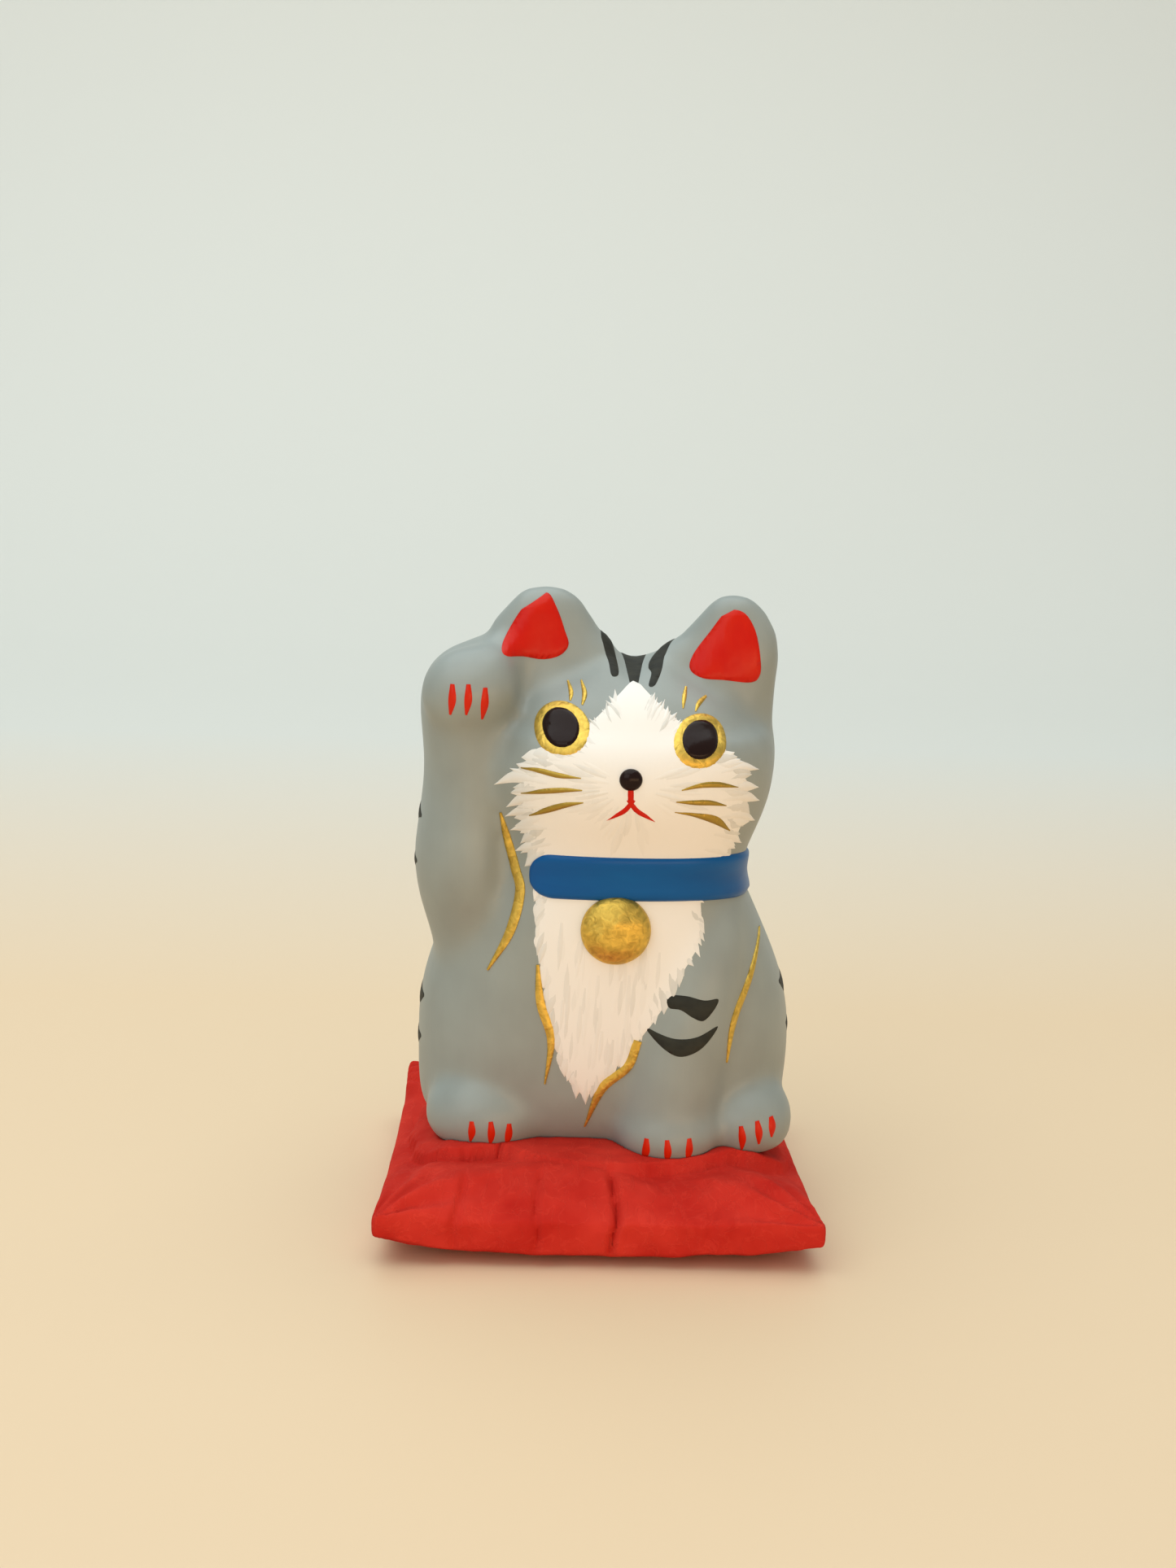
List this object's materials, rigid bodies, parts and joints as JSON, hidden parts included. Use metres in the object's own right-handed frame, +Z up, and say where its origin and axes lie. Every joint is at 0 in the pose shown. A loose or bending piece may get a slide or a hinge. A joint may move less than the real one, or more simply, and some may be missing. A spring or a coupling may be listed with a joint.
{
  "type": "ceramic cat figurine",
  "caption": "Seated beckoning cat of hollow painted clay, one forepaw raised, with raised gold and enamel details, resting on its own paper-covered cushion.",
  "frame": {"origin": "middle of the cushion's flat underside, on the surface that it stands on", "axes": "+Z up, the cat looks along -Y, the raised forepaw is on the -X side"},
  "size_m": [0.0574, 0.0516, 0.0826],
  "materials": {
    "grey_matt_paint": "matt blue-grey paint on bisque clay",
    "white_matt_paint": "thick matt white, brushed",
    "red_enamel": "satin vermilion, laid thick",
    "gold_leaf_paint": "brushed gold paint, raised",
    "black_enamel": "glossy brown-black",
    "charcoal_paint": "matt charcoal, brushed",
    "blue_paint": "matt ultramarine, brushed",
    "red_washi": "crumpled fibrous mulberry paper",
    "cotton_wadding": "loose white cotton wadding"
  },
  "bodies": {
    "cushion": {"cushion_cover": "red_washi", "cushion_filling": "cotton_wadding"},
    "cat": {"clay_body": "grey_matt_paint", "face_coat": "white_matt_paint", "bib_coat": "white_matt_paint", "ear_linings": "red_enamel", "eye_rings": "gold_leaf_paint", "pupils": "black_enamel", "lashes": "gold_leaf_paint", "nose": "black_enamel", "mouth_line": "red_enamel", "whiskers": "gold_leaf_paint", "crown_stripes": "charcoal_paint", "foreleg_stripes": "charcoal_paint", "contour_lines": "gold_leaf_paint", "claws": "red_enamel", "collar_band": "blue_paint", "bell": "gold_leaf_paint"}
  },
  "joints": [
    {"name": "cat_lift", "type": "slide", "parent": "cushion", "child": "cat", "axis": [0, 0, 1], "range_m": [0, 0.085]}
  ]
}
